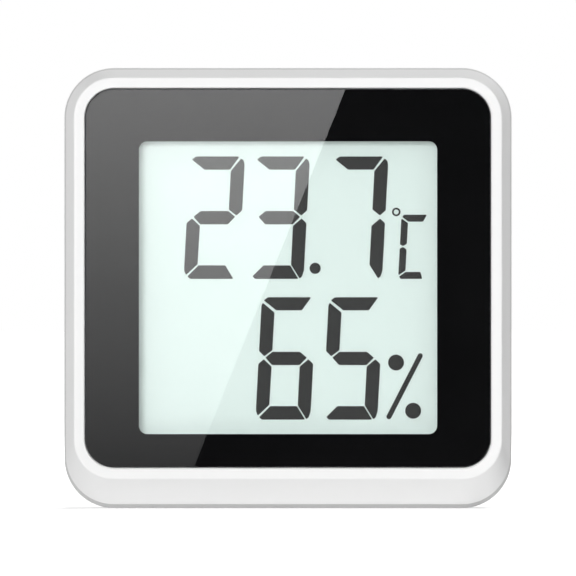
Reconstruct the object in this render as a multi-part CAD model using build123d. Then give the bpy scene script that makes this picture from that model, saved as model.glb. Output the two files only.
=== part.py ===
from build123d import *
import math
import os

os.makedirs("parts", exist_ok=True)

# X points right as seen from the front, Y from the front to the back, Z up.
# The case stands on Z = 0, and the origin lies under its middle.

# Case, split at a parting line behind the sloped front
case_width = 45.0
case_height = 44.3
case_depth = 13.0
case_corner_radius = 5.0
back_edge_radius = 1.0
wall = 1.3
back_wall = 1.5
slope_depth = 3.0
slope_side_run = 0.84
slope_top_run = 0.83
slope_bottom_run = 2.59
parting_corner_radius = 4.8
parting_gap = 0.08
rear_chamfer_depth = 1.0
rear_chamfer_run = 0.17
rear_chamfer_bottom_run = 0.42
rim_corner_radius = 4.0
rim_width = 1.05
rim_edge_radius = 0.2
rim_inner_radius = 0.12
skirt_thickness = 0.8
skirt_length = 1.5
skirt_clearance = 0.1
cut_overrun = 2.0
root_overlap = 0.3

# Window lens and its printed mask
lens_corner_radius = 3.0
lens_clearance = 0.05
lens_recess = 0.2
lens_thickness = 1.0
lens_edge_chamfer = 0.12
film_gap = 0.03
mask_thickness = 0.07
border_side = 5.46
border_top = 5.355
border_bottom = 3.425
window_corner_radius = 0.85
ledge_opening_margin = 0.22
ledge_share = 0.341

# Liquid crystal display
gasket_thickness = 0.3
polarizer_thickness = 0.2
glass_side_margin = 1.02
glass_end_margin = 0.795
contact_ledge_height = 1.9
display_glass_thickness = 0.7
cell_gap = 0.12
segment_thickness = 0.08
seal_inset = 0.15
seal_width = 0.5
reflector_thickness = 0.2
film_margin = 0.3

# Figures on the display: widths and places across are shares of the window's width, from its
# middle, and places and heights within a row are shares of the figures' height
figure_top_margin = 1.505
figure_bottom_margin = 1.435
figure_row_gap = 1.85
figure_slant_share = 0.053
segment_corner_radius = 0.07
figure_width_share = 0.1842
temperature_left_shares = [-0.3505, -0.1322, 0.1315]
humidity_left_shares = [-0.1095, 0.1155]
point_place_shares = (0.0911, 0.0861)
point_radius = 0.56
degree_place_shares = (0.3635, 0.5467)
degree_radius = 0.43
degree_hole_radius = 0.25
unit_letter_left_share = 0.3698
unit_letter_width_share = 0.0854
unit_letter_height_share = 0.524
percent_upper_shares = (0.3628, 0.4663)
percent_lower_shares = (0.4202, 0.0723)
percent_dot_radius = 0.8
percent_bar_shares = (0.3915, 0.2729)
percent_bar_length_share = 0.6
percent_bar_width = 0.5
percent_bar_angle = 62.9

# Display carrier and the rubber connectors that it holds
display_clearance = 0.1
carrier_screw_margin = 0.4
carrier_margin_z = 1.6
carrier_corner_radius = 1.0
carrier_floor_share = 0.341
carrier_relief = 0.1
connector_end_margin = 1.5
connector_width = 1.4
connector_clearance = 0.1
pad_width = 0.6
pad_pitch = 1.2
pad_end_margin = 1.6
pad_thickness = 0.04

# Circuit board
board_thickness = 1.0
board_edge_gap = 0.4
board_top_gap = 1.3
board_corner_radius = 0.8
board_notch = 1.9
board_hole_radius = 0.8

# Bosses and screws
case_screw_side_inset = 3.8
case_screw_end_inset = 4.2
case_boss_radius = 1.5
case_boss_above_board = 0.5
case_post_radius = 2.6
case_post_gap = 0.05
case_seat_thickness = 2.0
case_screw_head_radius = 1.45
case_screw_head_height = 1.0
case_screw_radius = 0.8
case_screw_length = 6.0
head_clearance = 0.25
board_screw_side_inset = 4.0
board_screw_rise = 9.0
board_boss_radius = 1.3
board_screw_head_radius = 1.25
board_screw_head_height = 0.8
board_screw_radius = 0.6
board_screw_length = 3.6
boss_clearance = 0.2
thread_clearance = 0.03
cross_width = 0.32
cross_depth_share = 0.55
cross_length_share = 1.3
head_edge_radius = 0.25

# Coin cell and its contacts
coin_radius = 10.0
coin_height = 3.2
can_wall = 0.25
coin_gasket_width = 0.8
cap_step = 0.15
coin_face_gap = 0.05
contact_thickness = 0.2
contact_width = 2.4
contact_gap = 0.05
contact_foot = 2.6
contact_reach_share = 0.75
leaf_foot_x = -7.0
leaf_bend_x = -4.0
leaf_tip_x = 2.2
leaf_width = 3.2
leaf_droop_share = 0.4

# Battery well and its bayonet cover
well_clearance = 0.45
well_outer_radius = 12.0
well_front_gap = 0.3
cover_radius = 12.0
cover_clearance = 0.1
cover_flange = 0.5
cover_below_back = 0.1
seat_depth = 1.0
seal_ring_squeeze_gap = 0.03
hub_radius = 10.6
hub_hole_radius = 10.8
hub_back_gap = 0.15
lug_radius = 11.2
lug_thickness = 0.55
lug_angle = 30.0
lug_count = 3
lug_run_clearance = 0.1
notch_radius = 11.4
notch_angle = 38.0
undercut_height = 0.7
seal_ring_inner_radius = 10.75
seal_ring_outer_radius = 11.85
coin_slot_length = 13.0
coin_slot_width = 1.8
coin_slot_depth = 0.75
cover_edge_chamfer = 0.15
grip_count = 32
grip_radius = 0.6
grip_depth_share = 0.7
lock_angle = 35.0
mark_radius = 0.45
mark_depth = 0.2
mark_gap = 1.3

# Kickstand in its channel round the cover
hinge_rise = 10.0
leg_width = 2.4
leg_side_gap = 0.4
leg_thickness = 1.5
channel_cover_gap = 0.9
channel_depth = 1.8
channel_floor = 0.9
channel_wall = 1.2
channel_bottom_z = 2.8
stand_foot_gap = 0.4
stand_foot_height = 2.5
stand_floor_gap = 0.9
stand_heel = 1.2
stand_stop_gap = 0.05
stand_end_gap = 0.6
stand_opening_angle = 45.0
stand_edge_radius = 0.25
pin_radius = 0.5
pin_bore_clearance = 0.05
pin_press_clearance = 0.01
pin_seat_depth = 0.9
thumb_scoop_radius = 3.2
thumb_scoop_depth = 1.0

# Unit button and the switch behind it
button_rise_share = 0.5314
button_radius = 2.2
button_clearance = 0.15
button_below_back = 0.15
button_flange_radius = 2.9
button_flange_thickness = 0.6
button_flange_gap = 0.1
button_stem_radius = 0.9
button_stem_gap = 0.05
button_dish_radius = 1.4
button_dish_depth = 0.12
button_edge_radius = 0.2
switch_size = 3.0
switch_height = 1.5
plunger_radius = 0.7
plunger_clearance = 0.05
plunger_rise = 0.57
plunger_length = 1.2
plunger_bore_depth = 1.25

# Magnets glued behind the back wall
magnet_x = 9.5
magnet_top_gap = 5.9
magnet_radius = 3.0
magnet_thickness = 1.4
magnet_glue = 0.05
magnet_clearance = 0.15
magnet_ring_wall = 0.6

# Air slots in the top wall
vent_count = 7
vent_pitch = 2.1
vent_width = 1.0
vent_length = 3.4
vent_back_gap = 1.7

# Parts soldered on the back of the board, whose places are shares of the case's width and height
controller_size = 5.0
controller_height = 0.85
controller_place_shares = (-0.3156, 0.2754)
driver_size = 5.6
driver_height = 0.9
driver_place_shares = (0.3111, 0.2664)
chip_edge_chamfer = 0.12
sensor_size = 2.5
sensor_height = 0.9
sensor_x = -5.6
sensor_top_gap = 4.9
sensor_port_radius = 0.45
sensor_port_depth = 0.3
sensor_slot_width = 0.7
sensor_slot_gap = 0.5
crystal_length = 3.2
crystal_width = 1.5
crystal_height = 0.75
crystal_place_shares = (-0.2267, 0.149)
crystal_lid_inset = 0.12
crystal_base_share = 0.55
chip_part_length = 1.0
chip_part_width = 0.5
chip_part_height = 0.45
chip_row_pitch = 1.15
antenna_left_x = -5.8
antenna_bottom_z = 3.2
antenna_height = 3.2
antenna_pitch = 1.3
antenna_turns = 8
antenna_trace = 0.45
antenna_thickness = 0.05

# What the ledge, the carrier's floor and the cell's sprung leaf share out between them
front_stack = lens_recess + lens_thickness + film_gap + mask_thickness
glass_stack = 2 * display_glass_thickness + cell_gap
display_stack = gasket_thickness + polarizer_thickness + glass_stack + 2 * film_gap + reflector_thickness
cell_stack = coin_height + coin_face_gap + hub_back_gap
spare_depth = case_depth - front_stack - display_stack - board_thickness - cell_stack - back_wall
ledge_thickness = spare_depth * ledge_share
carrier_floor = spare_depth * carrier_floor_share

# Depths, from the front face to the back
front_y = -case_depth / 2
back_y = case_depth / 2
parting_y = front_y + slope_depth
full_outline_y = parting_y + rear_chamfer_depth
inner_back_y = back_y - back_wall
lens_front_y = front_y + lens_recess
lens_back_y = lens_front_y + lens_thickness
mask_front_y = lens_back_y + film_gap
ledge_front_y = mask_front_y + mask_thickness
ledge_back_y = ledge_front_y + ledge_thickness
polarizer_front_y = ledge_back_y + gasket_thickness
polarizer_back_y = polarizer_front_y + polarizer_thickness
front_glass_front_y = polarizer_back_y + film_gap
front_glass_back_y = front_glass_front_y + display_glass_thickness
rear_glass_front_y = front_glass_back_y + cell_gap
rear_glass_back_y = rear_glass_front_y + display_glass_thickness
reflector_front_y = rear_glass_back_y + film_gap
reflector_back_y = reflector_front_y + reflector_thickness
board_front_y = reflector_back_y + carrier_floor
board_back_y = board_front_y + board_thickness
cover_back_y = back_y - cover_below_back
seat_y = back_y - seat_depth
coin_back_y = inner_back_y - hub_back_gap - coin_face_gap
coin_front_y = coin_back_y - coin_height
vent_centre_y = inner_back_y - vent_back_gap - vent_length / 2

# Places that several pieces share
case_centre_z = case_height / 2
rim_side = rear_chamfer_run + slope_side_run
rim_top = rear_chamfer_run + slope_top_run
rim_bottom = rear_chamfer_bottom_run + slope_bottom_run
case_screw_side = case_width / 2 - case_screw_side_inset
case_screw_rise = case_height / 2 - case_screw_end_inset
board_screw_side = case_width / 2 - board_screw_side_inset

# Window, display and figures
window_width = case_width - 2 * (rim_side + rim_width + border_side)
window_bottom_z = rim_bottom + rim_width + border_bottom
window_top_z = case_height - rim_top - rim_width - border_top
window_height = window_top_z - window_bottom_z
display_centre_z = (window_top_z + window_bottom_z) / 2
display_glass_width = window_width + 2 * glass_side_margin
rear_glass_height = window_height + 2 * glass_end_margin
front_glass_height = rear_glass_height + 2 * contact_ledge_height
contact_ledge_z = (front_glass_height - contact_ledge_height) / 2
connector_length = display_glass_width - 2 * connector_end_margin
pad_count = 1 + int((connector_length - 2 * pad_end_margin) / pad_pitch)
figure_space = window_height - figure_top_margin - figure_bottom_margin - figure_row_gap
figure_height = figure_space / 2
figure_width = window_width * figure_width_share
temperature_bottom_z = window_top_z - figure_top_margin - figure_height
humidity_bottom_z = window_bottom_z + figure_bottom_margin

# Places on the back and the board
hinge_z = case_centre_z + hinge_rise
hinge_y = back_y - channel_depth + stand_floor_gap
channel_foot_top_z = channel_bottom_z + 2 * stand_foot_gap + stand_foot_height
channel_inner_x = cover_radius + channel_cover_gap
leg_inner_x = channel_inner_x + leg_side_gap
leg_outer_x = leg_inner_x + leg_width
channel_outer_x = leg_outer_x + leg_side_gap
cover_seat_top_z = case_centre_z + cover_radius + cover_clearance
button_z = cover_seat_top_z + (case_height - wall - cover_seat_top_z) * button_rise_share
magnet_z = case_height - magnet_top_gap
sensor_z = case_height - sensor_top_gap


def case_outline(side, top, bottom, radius):
    """Rounded outline as seen from the front, held back from the case's sides, top and bottom."""
    height = case_height - top - bottom
    return Pos(0, bottom + height / 2) * RectangleRounded(case_width - 2 * side, height, radius)


def frame_outline(width, height, radius):
    """Rounded outline round the middle of the display."""
    return Pos(0, display_centre_z) * RectangleRounded(width, height, radius)


def plate(outline, y_front, y_back):
    """Solid of an outline as seen from the front, between two depths."""
    return extrude(Plane.XZ.offset(-y_front) * outline, amount=y_front - y_back)


def rod(x, z, radius, y_front, y_back):
    """Round bar along the depth."""
    return plate(Pos(x, z) * Circle(radius), y_front, y_back)


def block(x, z, width, height, y_front, y_back):
    """Rectangular bar along the depth."""
    return plate(Pos(x, z) * Rectangle(width, height), y_front, y_back)


def corner_places(side, rise):
    """Four places, left and right of the middle and above and below it."""
    return [(sx * side, case_centre_z + sz * rise) for sx in (-1, 1) for sz in (-1, 1)]


def pan_screw(x, z, seat, radius, length, head_radius, head_height):
    """Cross-head screw whose head sits on a seat and whose shank runs forwards."""
    head = rod(x, z, head_radius, seat, seat + head_height)
    head = fillet(head.faces().sort_by(Axis.Y)[-1].edges(), head_edge_radius)
    shank = rod(x, z, radius, seat - length, seat)
    recess_front = seat + head_height * (1 - cross_depth_share)
    long_side = head_radius * cross_length_share
    across = block(x, z, long_side, cross_width, recess_front, seat + head_height)
    upright = block(x, z, cross_width, long_side, recess_front, seat + head_height)
    return head + shank - across - upright


def case_screw_seat():
    """Depth of the seat that a case screw's head bears on."""
    return board_back_y + case_boss_above_board + case_post_gap + case_seat_thickness


def make_front_shell():
    """Sloped front with the rim, the lens pocket, the display ledge and the screw bosses."""
    rim = case_outline(rim_side, rim_top, rim_bottom, rim_corner_radius)
    parting = case_outline(
        rear_chamfer_run, rear_chamfer_run, rear_chamfer_bottom_run, parting_corner_radius
    )
    front = Plane.XZ.offset(-front_y) * rim
    back = Plane.XZ.offset(-parting_y) * parting
    shell = loft([front, back], ruled=True)
    shell = fillet(shell.faces().sort_by(Axis.Y)[0].edges(), rim_edge_radius)

    skirt_set = wall + skirt_clearance
    skirt = case_outline(skirt_set, skirt_set, skirt_set, case_corner_radius - skirt_set)
    shell += plate(skirt, parting_y, parting_y + skirt_length)
    hollow_set = skirt_set + skirt_thickness
    hollow = case_outline(hollow_set, hollow_set, hollow_set, case_corner_radius - hollow_set)
    shell -= plate(hollow, ledge_back_y, parting_y + skirt_length + cut_overrun)
    pocket = case_outline(
        rim_side + rim_width, rim_top + rim_width, rim_bottom + rim_width, lens_corner_radius
    )
    shell -= plate(pocket, front_y - cut_overrun, ledge_front_y)
    rim_face = shell.faces().sort_by(Axis.Y)[0]
    shell = fillet(rim_face.inner_wires()[0].edges(), rim_inner_radius)
    opening = frame_outline(
        window_width + 2 * ledge_opening_margin,
        window_height + 2 * ledge_opening_margin,
        window_corner_radius,
    )
    shell -= plate(opening, front_y, ledge_back_y + cut_overrun)

    boss_root = ledge_back_y - root_overlap
    case_boss_end = board_back_y + case_boss_above_board
    for x, z in corner_places(case_screw_side, case_screw_rise):
        shell += rod(x, z, case_boss_radius, boss_root, case_boss_end)
    for x, z in corner_places(board_screw_side, board_screw_rise):
        shell += rod(x, z, board_boss_radius, boss_root, board_front_y)
    case_tip = case_screw_seat() - case_screw_length - boss_clearance
    board_tip = board_back_y - board_screw_length - boss_clearance
    for x, z in corner_places(case_screw_side, case_screw_rise):
        shell -= rod(x, z, case_screw_radius + thread_clearance, case_tip, back_y)
    for x, z in corner_places(board_screw_side, board_screw_rise):
        shell -= rod(x, z, board_screw_radius + thread_clearance, board_tip, back_y)
    return shell


def channel_outline(margin):
    """U-shaped outline of the kickstand's channel, widened by a margin."""
    bottom = channel_bottom_z - margin
    top = hinge_z + stand_heel + stand_end_gap + margin
    outer = Rectangle(2 * (channel_outer_x + margin), top - bottom)
    inner_bottom = channel_foot_top_z + margin
    inner_top = top + cut_overrun
    inner = Rectangle(2 * (channel_inner_x - margin), inner_top - inner_bottom)
    return Pos(0, (top + bottom) / 2) * outer - Pos(0, (inner_top + inner_bottom) / 2) * inner


def cross_pin(x, radius, length):
    """Round bar across the case on the kickstand's hinge line."""
    return Pos(x, hinge_y, hinge_z) * Rot(0, 90, 0) * Cylinder(radius, length)


def round_the_cover(radius, turn):
    """Place at a radius from the cover's middle, turned from straight up towards +X."""
    angle = math.radians(turn)
    return radius * math.sin(angle), case_centre_z + radius * math.cos(angle)


def sector(radius, angle, turn):
    """Pie slice of a circle, centred on a direction, as a drawing about the cover's middle."""
    half = math.radians(angle / 2)
    reach = radius / math.cos(half)
    mid = math.radians(turn)
    points = [(0, 0)]
    for side in (-1, 1):
        points.append((reach * math.cos(mid + side * half), reach * math.sin(mid + side * half)))
    wedge = Polygon(*points)
    return Pos(0, case_centre_z) * (wedge & Circle(radius))


def make_rear_shell():
    """Deep rear half with the battery well, the stand's channel, posts, pockets and air slots."""
    parting = case_outline(
        rear_chamfer_run, rear_chamfer_run, rear_chamfer_bottom_run, parting_corner_radius
    )
    full = case_outline(0, 0, 0, case_corner_radius)
    start_y = parting_y + parting_gap
    shell = loft(
        [Plane.XZ.offset(-start_y) * parting, Plane.XZ.offset(-full_outline_y) * full], ruled=True
    )
    shell += plate(full, full_outline_y, back_y)
    shell = fillet(shell.faces().sort_by(Axis.Y)[-1].edges(), back_edge_radius)
    hollow = case_outline(wall, wall, wall, case_corner_radius - wall)
    shell -= plate(hollow, parting_y - cut_overrun, inner_back_y)

    wall_root = inner_back_y + root_overlap
    channel_floor_y = back_y - channel_depth
    housing = channel_outline(channel_wall)
    shell += plate(housing, channel_floor_y - channel_floor, wall_root)
    well_front = board_back_y + well_front_gap
    shell += rod(0, case_centre_z, well_outer_radius, well_front, wall_root)
    post_front = board_back_y + case_boss_above_board + case_post_gap
    for x, z in corner_places(case_screw_side, case_screw_rise):
        shell += rod(x, z, case_post_radius, post_front, wall_root)
    for x in (-magnet_x, magnet_x):
        ring = magnet_radius + magnet_clearance + magnet_ring_wall
        shell += rod(x, magnet_z, ring, inner_back_y - magnet_thickness, wall_root)
        pocket = magnet_radius + magnet_clearance
        shell -= rod(x, magnet_z, pocket, board_back_y, inner_back_y)

    shell -= rod(0, case_centre_z, coin_radius + well_clearance, board_front_y, inner_back_y)
    shell -= rod(0, case_centre_z, notch_radius, inner_back_y - undercut_height, inner_back_y)
    shell -= rod(0, case_centre_z, hub_hole_radius, board_front_y, back_y + cut_overrun)
    shell -= rod(0, case_centre_z, cover_radius + cover_clearance, seat_y, back_y + cut_overrun)
    for index in range(lug_count):
        notch = sector(notch_radius, notch_angle, 90 + index * 360 / lug_count)
        shell -= plate(notch, inner_back_y - undercut_height, seat_y + root_overlap)

    shell -= plate(channel_outline(0), channel_floor_y, back_y + cut_overrun)
    scoop_front = back_y - thumb_scoop_depth
    shell -= rod(0, channel_foot_top_z, thumb_scoop_radius, scoop_front, back_y + cut_overrun)
    pin_reach = pin_seat_depth + boss_clearance
    for side in (-1, 1):
        x = side * (channel_outer_x + (pin_reach - root_overlap) / 2)
        shell -= cross_pin(x, pin_radius + pin_press_clearance, pin_reach + root_overlap)

    seat = case_screw_seat()
    head_hole = case_screw_head_radius + head_clearance
    for x, z in corner_places(case_screw_side, case_screw_rise):
        shell -= rod(x, z, case_screw_radius + head_clearance, post_front - root_overlap, back_y)
        shell -= rod(x, z, head_hole, seat, back_y + cut_overrun)
    shell -= rod(0, button_z, button_radius + button_clearance, inner_back_y - root_overlap, back_y)
    for turn in (0, lock_angle):
        x, z = round_the_cover(cover_radius + mark_gap, -turn)
        shell -= rod(x, z, mark_radius, back_y - mark_depth, back_y + cut_overrun)
    for index in range(vent_count):
        x = (index - (vent_count - 1) / 2) * vent_pitch
        slot = Plane.XY.offset(case_height - 2 * wall) * Pos(x, vent_centre_y)
        slot = slot * SlotOverall(vent_length, vent_width, rotation=90)
        shell -= extrude(slot, amount=2 * wall + cut_overrun)
    return shell


def make_window_lens():
    """Clear sheet that fills the rim."""
    side = rim_width + lens_clearance
    radius = lens_corner_radius - lens_clearance
    outline = case_outline(rim_side + side, rim_top + side, rim_bottom + side, radius)
    lens = plate(outline, lens_front_y, lens_back_y)
    return chamfer(lens.faces().sort_by(Axis.Y)[0].edges(), lens_edge_chamfer)


def make_lens_mask():
    """Black border with the display's window, glued between the lens and the ledge."""
    side = rim_width + lens_clearance
    radius = lens_corner_radius - lens_clearance
    outline = case_outline(rim_side + side, rim_top + side, rim_bottom + side, radius)
    window = frame_outline(window_width, window_height, window_corner_radius)
    return plate(outline - window, mask_front_y, ledge_front_y)


def make_window_gasket():
    """Foam frame that shuts the gap between the ledge and the display."""
    outer = frame_outline(display_glass_width, front_glass_height, window_corner_radius)
    inner = frame_outline(
        window_width + 2 * ledge_opening_margin,
        window_height + 2 * ledge_opening_margin,
        window_corner_radius,
    )
    return plate(outer - inner, ledge_back_y, polarizer_front_y)


def film_outline():
    """Outline of the films on the two faces of the display."""
    width = display_glass_width - 2 * film_margin
    height = rear_glass_height - 2 * film_margin
    return Pos(0, display_centre_z) * Rectangle(width, height)


def glass_outline(height, inset):
    """Outline of a display glass, or of something held back from its edge."""
    return Pos(0, display_centre_z) * Rectangle(display_glass_width - 2 * inset, height - 2 * inset)


def make_display_seal():
    """Glue frame between the two display glasses."""
    outer = glass_outline(rear_glass_height, seal_inset)
    inner = glass_outline(rear_glass_height, seal_inset + seal_width)
    return plate(outer - inner, front_glass_back_y, rear_glass_front_y)


# Corners of each segment of a figure, as shares of its width and height
segment_shares = {
    "a": [(0.115, 1.0), (0.9, 1.0), (0.74, 0.893), (0.275, 0.893), (0.036, 0.975)],
    "b": [
        (0.934, 0.984), (0.985, 0.962), (1.0, 0.926), (1.0, 0.56),
        (0.9, 0.518), (0.758, 0.567), (0.756, 0.881),
    ],
    "c": [
        (0.907, 0.493), (1.0, 0.455), (1.0, 0.074), (0.972, 0.022),
        (0.93, 0.002), (0.758, 0.115), (0.756, 0.433),
    ],
    "d": [(0.259, 0.11), (0.745, 0.11), (0.907, 0.0), (0.122, 0.0), (0.066, 0.02)],
    "e": [(0.093, 0.493), (0.244, 0.433), (0.239, 0.12), (0.038, 0.032), (0.0, 0.074), (0.0, 0.455)],
    "f": [(0.02, 0.955), (0.244, 0.875), (0.242, 0.567), (0.1, 0.518), (0.0, 0.56), (0.0, 0.93)],
    "g": [
        (0.246, 0.554), (0.745, 0.554), (0.878, 0.507),
        (0.752, 0.446), (0.25, 0.446), (0.122, 0.507),
    ],
}
lit_segments = {"2": "abged", "3": "abgcd", "5": "afgcd", "6": "afgcde", "7": "abc"}
letter_shares = [
    [(0.1, 1.0), (1.0, 1.0), (0.86, 0.893), (0.28, 0.893), (0.03, 0.965)],
    [(0.0, 0.945), (0.27, 0.87), (0.27, 0.55), (0.13, 0.51), (0.0, 0.54)],
    [(0.0, 0.47), (0.13, 0.498), (0.27, 0.455), (0.27, 0.13), (0.0, 0.055)],
    [(0.28, 0.107), (0.86, 0.107), (0.95, 0.0), (0.1, 0.0), (0.03, 0.035)],
]


def ink(outline):
    """A lit mark between the display's glasses."""
    front = front_glass_back_y + (cell_gap - segment_thickness) / 2
    return plate(outline, front, front + segment_thickness)


def row_place(bottom_z, place_shares):
    """Middle of a mark in a row of figures."""
    across, up = place_shares
    return Pos(window_width * across, bottom_z + figure_height * up)


def slanted_segment(shares, left_x, bottom_z, width, height):
    """One lit segment, leaning to the right with height."""
    points = []
    for across, up in shares:
        lean = figure_slant_share * up * height
        points.append((left_x + across * width + lean, bottom_z + up * height))
    outline = make_face(Polyline(*points, close=True))
    return ink(fillet(outline.vertices(), segment_corner_radius))


def figure_row(characters, left_shares, bottom_z):
    """Lit segments of a row of seven-segment figures."""
    return [
        slanted_segment(
            segment_shares[name], window_width * left, bottom_z, figure_width, figure_height
        )
        for character, left in zip(characters, left_shares)
        for name in lit_segments[character]
    ]


def make_temperature_segments():
    """Upper row: two figures, the point, the tenths, the degree ring and the unit letter."""
    bottom_z = temperature_bottom_z
    solids = figure_row("237", temperature_left_shares, bottom_z)
    solids.append(ink(row_place(bottom_z, point_place_shares) * Circle(point_radius)))
    ring = Circle(degree_radius) - Circle(degree_hole_radius)
    solids.append(ink(row_place(bottom_z, degree_place_shares) * ring))
    left_x = window_width * unit_letter_left_share
    width = window_width * unit_letter_width_share
    height = figure_height * unit_letter_height_share
    solids += [slanted_segment(shares, left_x, bottom_z, width, height) for shares in letter_shares]
    return Compound(children=solids)


def make_humidity_segments():
    """Lower row: two figures and the percent mark."""
    bottom_z = humidity_bottom_z
    solids = figure_row("65", humidity_left_shares, bottom_z)
    for place_shares in (percent_upper_shares, percent_lower_shares):
        solids.append(ink(row_place(bottom_z, place_shares) * Circle(percent_dot_radius)))
    length = figure_height * percent_bar_length_share
    bar = SlotOverall(length, percent_bar_width, rotation=percent_bar_angle)
    solids.append(ink(row_place(bottom_z, percent_bar_shares) * bar))
    return Compound(children=solids)


def make_display_carrier():
    """Moulded tray that holds the display and its rubber connectors against the board."""
    width = 2 * (board_screw_side + carrier_screw_margin)
    height = front_glass_height + 2 * carrier_margin_z
    outline = frame_outline(width, height, carrier_corner_radius)
    carrier = plate(outline, ledge_back_y + carrier_relief, board_front_y)
    tray_width = display_glass_width + 2 * display_clearance
    tray_height = front_glass_height + 2 * display_clearance
    tray_front = ledge_back_y - cut_overrun
    carrier -= block(0, display_centre_z, tray_width, tray_height, tray_front, reflector_back_y)
    slot_length = connector_length + 2 * connector_clearance
    slot_width = connector_width + 2 * connector_clearance
    for side in (-1, 1):
        z = display_centre_z + side * contact_ledge_z
        carrier -= block(0, z, slot_length, slot_width, tray_front, board_front_y + cut_overrun)
    for x, z in corner_places(board_screw_side, board_screw_rise):
        radius = board_boss_radius + boss_clearance
        carrier -= rod(x, z, radius, tray_front, board_front_y + cut_overrun)
    for x, z in corner_places(case_screw_side, case_screw_rise):
        size = 2 * (case_boss_radius + boss_clearance)
        carrier -= block(x, z, size, size, tray_front, board_front_y + cut_overrun)
    return carrier


def make_rubber_connectors():
    """Two striped rubber strips that press the display's contact ledges to the board."""
    strips = []
    for side in (-1, 1):
        z = display_centre_z + side * contact_ledge_z
        front = front_glass_back_y
        back = board_front_y - pad_thickness
        strips.append(block(0, z, connector_length, connector_width, front, back))
    return Compound(children=strips)


def make_board_pads():
    """Gold pads under the rubber strips."""
    pads = []
    for side in (-1, 1):
        z = display_centre_z + side * contact_ledge_z
        for index in range(pad_count):
            x = (index - (pad_count - 1) / 2) * pad_pitch
            front = board_front_y - pad_thickness
            pads.append(block(x, z, pad_width, connector_width, front, board_front_y))
    return Compound(children=pads)


def make_main_board():
    """Circuit board with corner notches, screw holes and a thermal slot round the sensor."""
    side = wall + skirt_clearance + skirt_thickness + board_edge_gap
    ends = wall + board_top_gap
    outline = case_outline(side, ends, ends, board_corner_radius)
    board = plate(outline, board_front_y, board_back_y)
    for x, z in corner_places(case_screw_side, case_screw_rise):
        out_x = x + math.copysign(board_notch, x)
        out_z = z + math.copysign(board_notch, z - case_centre_z)
        board -= block(out_x, out_z, 4 * board_notch, 4 * board_notch, front_y, back_y)
    for x, z in corner_places(board_screw_side, board_screw_rise):
        board -= rod(x, z, board_hole_radius, front_y, back_y)
    reach = sensor_size / 2 + sensor_slot_gap + sensor_slot_width / 2
    long_side = sensor_size + 2 * sensor_slot_gap + sensor_slot_width
    below = Pos(sensor_x, sensor_z - reach) * SlotOverall(long_side, sensor_slot_width)
    board -= plate(below, front_y, back_y)
    beside = Pos(sensor_x + reach, sensor_z) * SlotOverall(long_side, sensor_slot_width, rotation=90)
    board -= plate(beside, front_y, back_y)
    return board


def board_place(place_shares):
    """Place on the board, from shares of the case's width and height."""
    across, up = place_shares
    return case_width * across, case_height * up


def make_chip(place, size, height):
    """Flat square chip package on the back of the board."""
    chip = block(*place, size, size, board_back_y, board_back_y + height)
    return chamfer(chip.faces().sort_by(Axis.Y)[-1].edges(), chip_edge_chamfer)


def make_sensor_chip():
    """Temperature and humidity sensor with its round air port."""
    chip = make_chip((sensor_x, sensor_z), sensor_size, sensor_height)
    top = board_back_y + sensor_height
    return chip - rod(sensor_x, sensor_z, sensor_port_radius, top - sensor_port_depth, back_y)


def make_crystal():
    """Clock crystal in its metal-lidded package."""
    place = board_place(crystal_place_shares)
    middle = board_back_y + crystal_height * crystal_base_share
    base = block(*place, crystal_length, crystal_width, board_back_y, middle)
    lid_length = crystal_length - 2 * crystal_lid_inset
    lid_width = crystal_width - 2 * crystal_lid_inset
    top = board_back_y + crystal_height
    return base + block(*place, lid_length, lid_width, middle, top)


# Rows of small parts: place of the left end, as shares of the case, and how many
chip_row_shares = [(-0.395, 0.385, 4), (0.285, 0.385, 4), (-0.14, 0.155, 5), (0.055, 0.155, 4)]


def make_chip_components():
    """Small resistors and capacitors in rows beside the chips they serve."""
    solids = []
    back = board_back_y + chip_part_height
    for across, up, count in chip_row_shares:
        left_x, z = board_place((across, up))
        for index in range(count):
            x = left_x + index * chip_row_pitch
            solids.append(block(x, z, chip_part_width, chip_part_length, board_back_y, back))
    return Compound(children=solids)


def make_board_antenna():
    """Copper zigzag at the lower edge of the board."""
    trace = Sketch()
    low = antenna_bottom_z
    high = antenna_bottom_z + antenna_height
    for index in range(antenna_turns + 1):
        x = antenna_left_x + index * antenna_pitch
        trace += Pos(x, (low + high) / 2) * Rectangle(antenna_trace, high - low)
        if index < antenna_turns:
            z = high - antenna_trace / 2 if index % 2 == 0 else low + antenna_trace / 2
            joint = Rectangle(antenna_pitch + antenna_trace, antenna_trace)
            trace += Pos(x + antenna_pitch / 2, z) * joint
    return plate(trace, board_back_y, board_back_y + antenna_thickness)


def make_unit_switch():
    """Square push switch with a bore for its plunger."""
    top = board_back_y + switch_height
    body = block(0, button_z, switch_size, switch_size, board_back_y, top)
    body = chamfer(body.faces().sort_by(Axis.Y)[-1].edges(), chip_edge_chamfer)
    return body - rod(0, button_z, plunger_radius + plunger_clearance, top - plunger_bore_depth, back_y)


def plunger_top():
    """Depth of the tip of the switch's plunger."""
    return board_back_y + switch_height + plunger_rise


def make_switch_plunger():
    """Round plunger of the push switch."""
    return rod(0, button_z, plunger_radius, plunger_top() - plunger_length, plunger_top())


def make_unit_button():
    """Round button with a retaining flange and a stem down to the switch."""
    cap_back = back_y - button_below_back
    flange_back = inner_back_y - button_flange_gap
    flange_front = flange_back - button_flange_thickness
    cap = rod(0, button_z, button_radius, flange_back - root_overlap, cap_back)
    cap = fillet(cap.faces().sort_by(Axis.Y)[-1].edges(), button_edge_radius)
    cap -= rod(0, button_z, button_dish_radius, cap_back - button_dish_depth, back_y)
    cap += rod(0, button_z, button_flange_radius, flange_front, flange_back)
    stem_front = plunger_top() + button_stem_gap
    return cap + rod(0, button_z, button_stem_radius, stem_front, flange_front + root_overlap)


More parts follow.
